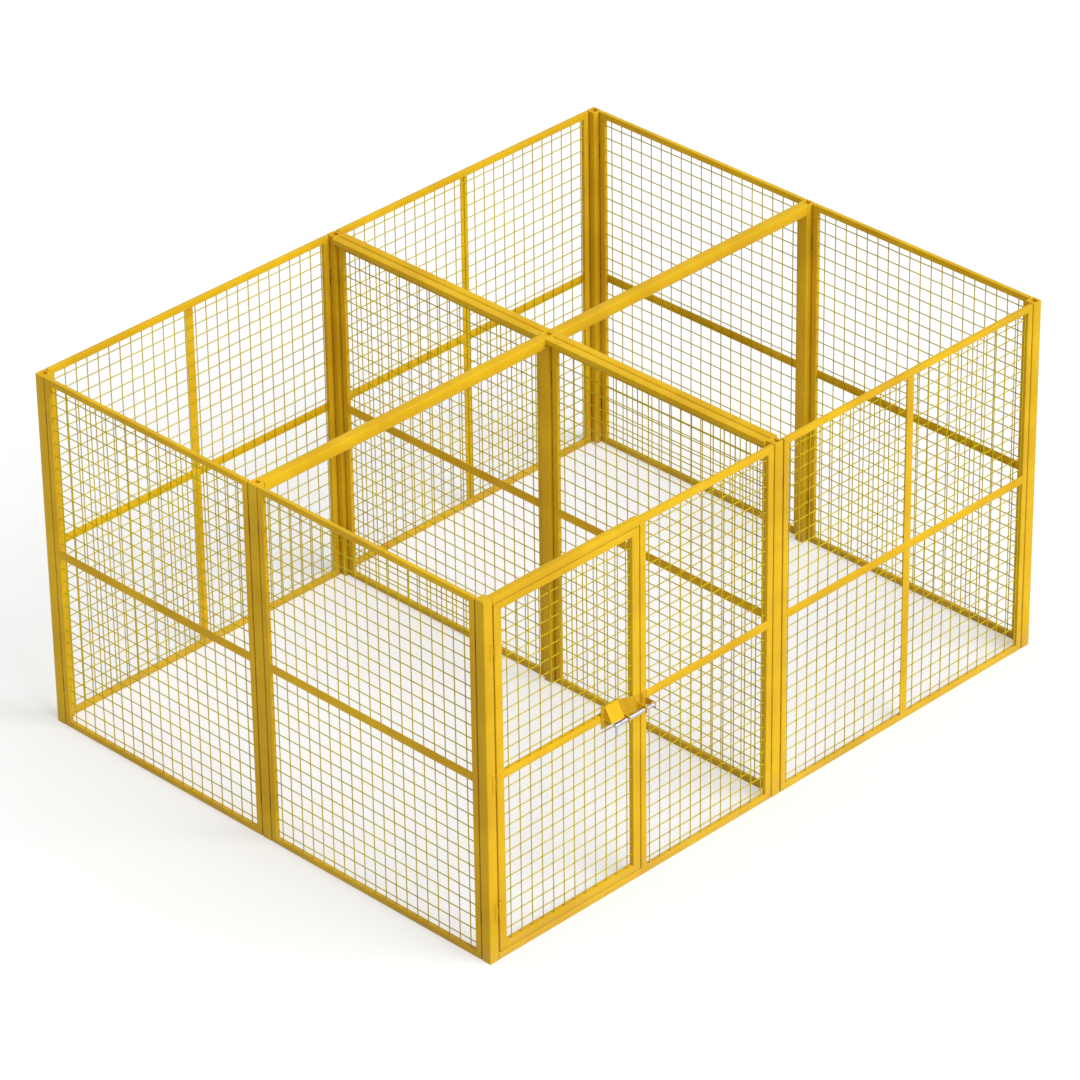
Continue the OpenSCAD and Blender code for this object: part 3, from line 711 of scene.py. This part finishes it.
# column and row of the post, and the side that the seam is on: 0 +x, 1 +y, 2 -x, 3 -y
SEAMS = [(1, 0, 0), (1, 0, 2), (2, 0, 2), (0, 2, 0), (1, 2, 0), (1, 2, 2), (2, 2, 2),
         (0, 0, 1), (0, 1, 1), (0, 1, 3), (0, 2, 3), (1, 0, 1), (1, 1, 1), (1, 1, 3), (1, 2, 3),
         (2, 0, 1), (2, 1, 1), (2, 1, 3), (2, 2, 3)]
clips, bolts = Solid(), Solid()
for i, j, side in SEAMS:
    post = post_at[post_name(i, j)]
    sign = 1 if side in (0, 1) else -1
    if side in (0, 2):
        origin = (post.x + sign * POST / 2, post.y + (j - 1) * ACROSS)

        def at(n, t, z, o=origin, sg=sign):
            return (o[0] + sg * n, o[1] + t, z)
    else:
        origin = (post.x + (i - 1) * ACROSS, post.y + sign * POST / 2)

        def at(n, t, z, o=origin, sg=sign):
            return (o[0] + t, o[1] + sg * n, z)
    stile = NARROW_FACE if (i, j, side) == (1, 0, 2) else FACE
    for z in CLIP_Z:
        outline = round_rect(-CLIP_HALF_W, CLIP_HALF_W, z - CLIP_HALF_L, z + CLIP_HALF_L, CLIP_R)
        clips.loft([[(n, a, b) for a, b in outline] for n in (AIR, SEAM - AIR)], place=at)

        def around(along, a, b, at=at, z=z):
            return at(along, a, z + b)
        turned(bolts, shifted(BOLT_HEAD, SEAM + stile), 20, around)
        turned(bolts, shifted(BOLT_RECESS, SEAM + stile), 6, around)
clips.build("panel_clips_blocks", DARK_COAT, "cage", ("panel_clips",), "dark_coat", bevel=0.8)
bolts.build("clip_bolts_heads", COAT, "cage", ("clip_bolts",), "frame_coat")

# ------------------------------------------------------------------ hinges
front = DOOR_LOW.y
pin_x, pin_y = DOOR_LOW.x - PIN_SIDE, front - PIN_OUT
hinge_low, hinge_high = box_mm("hinge_leaves_post")
half = HINGE_L / 2
centres = [hinge_low.z + half, (hinge_low.z + hinge_high.z) / 2, hinge_high.z - half]
post_leaves, door_leaves, pins = Solid(), Solid(), Solid()
post_screws, door_screws = Solid(), Solid()
# heights of the knuckles: the post's at both ends, the door's between them
THIRD = HINGE_L / 3
POST_ZONES = ((0.0, THIRD), (2 * THIRD, HINGE_L))
DOOR_ZONES = ((THIRD + BARREL_GAP, 2 * THIRD - BARREL_GAP),)


def round_pin(z, a, b):
    return (pin_x + a, pin_y + b, z)


def barrel(solid, z0, z1):
    c = BARREL_EDGE
    profile = [(z0, KNUCKLE - c), (z0 + c, KNUCKLE), (z1 - c, KNUCKLE), (z1, KNUCKLE - c)]
    turned(solid, profile, 28, round_pin)


for zc in centres:
    base = zc - HINGE_L / 2
    for solid, sg, screws, zones in ((post_leaves, -1, post_screws, POST_ZONES),
                                     (door_leaves, 1, door_screws, DOOR_ZONES)):
        a, b = sorted((pin_x + sg * (KNUCKLE + LEAF_GAP), pin_x + sg * LEAF))
        outline = round_rect(a, b, base, base + HINGE_L, LEAF_R)
        plate(solid, outline, front - LEAF_T, front - AIR)
        # a tongue joins each knuckle to the leaf
        a, b = sorted((pin_x + sg * TONGUE, pin_x + sg * (KNUCKLE + TONGUE)))
        y0, y1 = front - LEAF_T, front - TONGUE_AIR
        for z0, z1 in zones:
            barrel(solid, base + z0, base + z1)
            tongue = ((a, y0), (b, y0), (b, y1), (a, y1))
            solid.loft([[(x, y, base + z) for x, y in tongue] for z in (z0, z1)])
        for share in HINGE_SCREW_SHARES:
            cx, cz = pin_x + sg * HINGE_SCREW_SIDE, base + HINGE_L * share

            def on_leaf(along, a, b, cx=cx, cz=cz):
                return (cx + a, front - LEAF_T - along, cz + b)
            turned(screws, LEAF_SCREW, 18, on_leaf)
            turned(screws, LEAF_RECESS, 6, on_leaf)
    # pin caps under and over the knuckles, each rounded on its far side
    for z, away in ((base, -1), (base + HINGE_L, 1)):
        cap = [(0.0, 6.0), (0.5, 6.0), (CAP_L - 0.8, 5.8), (CAP_L, 4.4)]
        turned(pins, [(z + away * along, r) for along, r in cap][::away], 24, round_pin)
post_leaves.build("hinge_post_leaf", COAT, "cage", ("hinge_leaves_post",), "frame_coat")
door_leaves.build("hinge_door_leaf", COAT, "door", ("hinge_leaves_door",), "frame_coat")
pins.build("hinge_pin_caps", COAT, "cage", ("hinge_pins",), "frame_coat")
post_screws.build("hinge_screws_post", COAT, "cage", (), "frame_coat")
door_screws.build("hinge_screws_door", COAT, "door", (), "frame_coat")

# ------------------------------------------------------------------ latch
low, high = box_mm("latch_plate")
latch_left, latch_face, door_edge = low.x, low.y, high.x + PLATE_INSET
fall_from = box_mm("latch_hood")[1].x
corners = [(low.x, low.z), (high.x, low.z), (high.x, high.z - LATCH_FALL),
           (fall_from, high.z), (low.x, high.z)]
s = Solid()
plate(s, round_outline(corners, (PLATE_R,) * len(corners)), low.y, high.y - AIR)
# the plate's darker yellow is painted shade
s.build("latch_plate_sheet", LATCH_PAINTED_SHADE_COAT, "door", ("latch_plate",), "frame_coat", bevel=0.7)

# hood: a sheet that leaves the plate near its top, slopes out and turns down
low, high = box_mm("latch_hood")


def hood_line(offset):
    """The sheet's outer or inner face as (y, z), from the plate to the lip."""
    top, lip = Vector((high.y, high.z)), Vector((low.y, low.z))
    slope = (lip - top).normalized()
    inward = Vector((-slope.y, slope.x))
    if inward.x < 0:
        inward = -inward
    return [top + (lip - top) * t + inward * offset for t in (0.0, 0.04, 0.10, 0.5, 0.93, 0.985)]


s = Solid()
# the sheet as one closed side view, then its two cheeks
outer = hood_line(0.0) + [Vector((low.y, low.z))]
inner = hood_line(HOOD_T) + [Vector((low.y + HOOD_T, low.z))]
back = high.y - AIR
s.loft([[(x, p.x, p.y) for p in outer] + [(x, min(p.x, back), p.y) for p in reversed(inner)]
        for x in (low.x, high.x)])
cheek = [(back, high.z - 4), (low.y + 1.0, low.z + 1.0), (low.y + 5.0, low.z), (back, low.z)]
for x0, x1 in ((low.x, low.x + HOOD_T), (high.x - HOOD_T, high.x)):
    s.loft([[(x, y, z) for y, z in cheek] for x in (x0, x1)])
s.build("latch_hood_sheet", COAT, "door", ("latch_hood",), "frame_coat", bevel=0.6)
x0, x1 = low.x + HOOD_BEAD_SHORT, high.x - HOOD_BEAD_SHORT
y, z = high.y - HOOD_BEAD_OFF, high.z + HOOD_BEAD_OFF
weld_bead(door_welds, (x0, y, z), (x1, y, z), (0, -1, 0.6), *HOOD_BEAD)

bolt_low, bolt_high = box_mm("slide_bolt")
bolt_y = (bolt_low.y + bolt_high.y) / 2
bolt_z = bolt_high.z - BOLT_R
guide_low, guide_high = box_mm("bolt_guides")


def eye_plate(solid, x0, x1, y_back, y_front, hole):
    """A plate across the bolt with a round nose and a round hole."""
    outer_pts, hole_pts = [], []
    for dy, dz in circle(1.0, 32):
        hole_pts.append((bolt_y + hole * dy, bolt_z + hole * dz))
        # distance to the square outline, its front side drawn in to a nose
        span_y = (y_back - bolt_y) if dy > 0 else (bolt_y - y_front)
        reach_y = span_y / abs(dy) if abs(dy) > 1e-6 else math.inf
        reach_z = EYE_HALF / abs(dz) if abs(dz) > 1e-6 else math.inf
        reach = min(reach_y, reach_z)
        if dy < 0:
            reach = min(reach, EYE_HALF * EYE_NOSE)
        outer_pts.append((bolt_y + reach * dy, bolt_z + reach * dz))
    outlines = ((x0, outer_pts), (x1, outer_pts), (x1, hole_pts), (x0, hole_pts))
    solid.loft([[(x, y, z) for y, z in pts] for x, pts in outlines], close=True)


s = Solid()
for x0, x1 in ((guide_low.x, guide_low.x + EYE_T), (guide_high.x - EYE_T, guide_high.x)):
    eye_plate(s, x0, x1, guide_high.y - AIR, guide_low.y, BOLT_R + GUIDE_PLAY)
    z0, z1 = bolt_z - EYE_BEAD_HALF, bolt_z + EYE_BEAD_HALF
    for x, side in ((x0 - EYE_BEAD_OFF, -1), (x1 + EYE_BEAD_OFF, 1)):
        weld_bead(door_welds, (x, guide_high.y, z0), (x, guide_high.y, z1), (side, -1, 0),
                  *EYE_BEAD)
s.build("bolt_guides_plates", COAT, "door", ("bolt_guides",), "frame_coat", bevel=0.6)

s = Solid()
keep_low, keep_high = box_mm("bolt_keeper")
back, keeper_face = keep_high.y - AIR, keep_high.y - KEEPER_T
eye_plate(s, keep_high.x - KEEPER_T, keep_high.x, back, keep_low.y, BOLT_R + KEEPER_PLAY)
base_end = keep_high.x - KEEPER_SHORT
outline = round_rect(keep_low.x, base_end, keep_low.z, keep_high.z, KEEPER_R)
plate(s, outline, keeper_face, back)
# the keeper's darker yellow is painted shade
s.build("bolt_keeper_bracket", LATCH_PAINTED_SHADE_COAT, "cage", ("bolt_keeper",), "frame_coat", bevel=0.6)

s = Solid()
rod = [(bolt_low.x, BOLT_R - BOLT_TAIL), (bolt_low.x + BOLT_TAIL, BOLT_R),
       (bolt_high.x - BOLT_NOSE, BOLT_R), (bolt_high.x, BOLT_R - BOLT_NOSE)]
turned(s, rod, 40, lambda x, a, b: (x, bolt_y + a, bolt_z + b))
# the handle hangs from the bolt: a knob, a waist and a collar
handle_x, foot = bolt_low.x + HANDLE_X, bolt_low.z
knob = [(0.0, 3.0), (1.2, 5.2), (3.6, 6.8), (7.0, 7.0), (10.4, 6.8), (13.0, 5.4), (15.0, 5.0)]
collar = [(-13.0, 5.6), (-11.0, 6.6), (0.0, 6.6)]
turned(s, shifted(knob, foot) + shifted(collar, bolt_z), 24,
       lambda z, a, b: (handle_x + a, bolt_y + b, z))
s.build("slide_bolt_rod", ZINC, "slide_bolt", ("slide_bolt",), "zinc")


def screw_heads(name, source, body, places, face_y):
    """Hexagon heads on washers at (x, z) places on a face to the front."""
    s = Solid()
    for x, z in places:
        def at(along, a, b, x=x, z=z):
            return (x + a, face_y - along, z + b)
        turned(s, WASHER, 24, at)
        turned(s, HEX_HEAD, 6, at)
    s.build(name, COAT, body, (source,), "frame_coat")


latch_places = [(latch_left + HOOD_INSET / 2, MID_Z), (door_edge - GUIDE_SCREW, MID_Z),
                (door_edge - DOOR_STILE / 2, MID_Z + SCREW_LIFT)]
screw_heads("latch_screw_heads", "latch_screws", "door", latch_places, latch_face)
low, high = box_mm("keeper_screws")
cx = (low.x + high.x) / 2
keeper_places = [(cx, low.z + KEEPER_SCREW_R), (cx, high.z - KEEPER_SCREW_R)]
screw_heads("keeper_screw_heads", "keeper_screws", "cage", keeper_places, keeper_face)

welds.build("weld_beads_cage", WELD, "cage", (), "frame_coat", angle=60)
door_welds.build("weld_beads_door", WELD, "door", (), "frame_coat", angle=60)

# spigots and nuts keep their own shape: they are inside the tubes, out of sight
for name, mat in (("beam_spigots", COAT), ("clip_nuts", NUT_ZINC)):
    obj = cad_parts[name]
    obj.data.materials.clear()
    obj.data.materials.append(mat)

# ------------------------------------------------------------------ stage
WHITE = (1.0, 1.0, 1.0, 1.0)
FLOOR_HALF = 60.0  # m
FLOOR_DROP = 0.0005  # m under the feet
FLOOR_TONES = ((0.97, 0.97, 0.97), (0.99, 0.99, 0.99))
FLOOR_BOUNCE = (0.70, 0.70, 0.70)  # what the floor gives back to the object
FLOOR_LIFT = 0.42
AMBIENT = 0.48
SUN_ENERGY = 2.68
SUN_SPREAD = 50  # degrees, which makes the shadows soft
TOWARD_SUN = (0.12, -0.68, 0.72)


def background_ray(tree):
    """1 for the rays that show the background: camera, glossy and transmission rays."""
    path = node(tree, "ShaderNodeLightPath")
    ray = math_node(tree, "MAXIMUM", path.outputs["Is Camera Ray"], path.outputs["Is Glossy Ray"])
    return math_node(tree, "MAXIMUM", ray, path.outputs["Is Transmission Ray"])


def mix_shaders(tree, fac, a, b, target):
    mix = node(tree, "ShaderNodeMixShader")
    for value, socket in zip((fac, a, b), mix.inputs):
        tree.links.new(value, socket)
    tree.links.new(mix.outputs["Shader"], target)


mat, tree = new_material("studio_floor")
out = node(tree, "ShaderNodeOutputMaterial")
diffuse = node(tree, "ShaderNodeBsdfDiffuse")
coords = node(tree, "ShaderNodeTexCoord").outputs["Object"]
tone = remap(tree, noise(tree, coords, 1.5, 3.0), 0.3, 0.7)
seen = blend_colour(tree, tone, *FLOOR_TONES)
ray = background_ray(tree)
tree.links.new(blend_colour(tree, ray, FLOOR_BOUNCE, seen), diffuse.inputs["Color"])
# the camera sees the floor lifted towards white, with the object's shadow kept
lift = node(tree, "ShaderNodeEmission")
lift.inputs["Color"].default_value = WHITE
lift.inputs["Strength"].default_value = 1.0
share = math_node(tree, "MULTIPLY", ray, FLOOR_LIFT)
mix_shaders(tree, share, diffuse.outputs["BSDF"], lift.outputs["Emission"], out.inputs["Surface"])
floor_mesh = bpy.data.meshes.new("studio_floor")
corners = [(a * FLOOR_HALF, b * FLOOR_HALF, 0) for a, b in ((-1, -1), (1, -1), (1, 1), (-1, 1))]
floor_mesh.from_pydata(corners, [], [(0, 1, 2, 3)])
floor_mesh.materials.append(mat)
floor = add_object("studio_floor", floor_mesh)
floor.location.z = -FLOOR_DROP

world = bpy.data.worlds.new("studio")
bpy.context.scene.world = world
world.use_nodes = True
tree = world.node_tree
tree.nodes.clear()
out = node(tree, "ShaderNodeOutputWorld")
# soft light on the object, plain white behind it
skies = []
for strength in (AMBIENT, 1.0):
    sky = node(tree, "ShaderNodeBackground")
    sky.inputs["Color"].default_value = WHITE
    sky.inputs["Strength"].default_value = strength
    skies.append(sky.outputs["Background"])
mix_shaders(tree, background_ray(tree), *skies, out.inputs["Surface"])

sun_data = bpy.data.lights.new("key", "SUN")
sun_data.energy = SUN_ENERGY
sun_data.angle = math.radians(SUN_SPREAD)
sun = add_object("key", sun_data)
sun.rotation_euler = Vector(TOWARD_SUN).normalized().to_track_quat("Z", "Y").to_euler()

# ------------------------------------------------------------------ camera
CAMERA_AT = Vector((-18.351, -18.235, 16.581))  # m
YAW, PITCH_DOWN, ROLL = (math.radians(v) for v in (-45.066, 31.23, -0.809))
SENSOR = 36.0  # mm
FOCAL_PX, FRAME_PX = 5788.7, 1080.0

level = math.cos(PITCH_DOWN)
forward = Vector((-math.sin(YAW) * level, math.cos(YAW) * level, -math.sin(PITCH_DOWN)))
right = Vector((math.cos(YAW), math.sin(YAW), 0.0))
up = right.cross(forward)
right_rolled = right * math.cos(ROLL) + up * math.sin(ROLL)
up_rolled = up * math.cos(ROLL) - right * math.sin(ROLL)
cam_data = bpy.data.cameras.new("camera")
cam_data.sensor_fit = "HORIZONTAL"
cam_data.sensor_width = SENSOR
cam_data.lens = SENSOR * FOCAL_PX / FRAME_PX
cam_data.clip_end = 200.0
cam = add_object("camera", cam_data)
turn = Matrix((right_rolled, up_rolled, -forward)).transposed()
cam.matrix_world = Matrix.Translation(CAMERA_AT) @ turn.to_4x4()
bpy.context.scene.camera = cam
bpy.context.scene.view_settings.view_transform = "Standard"
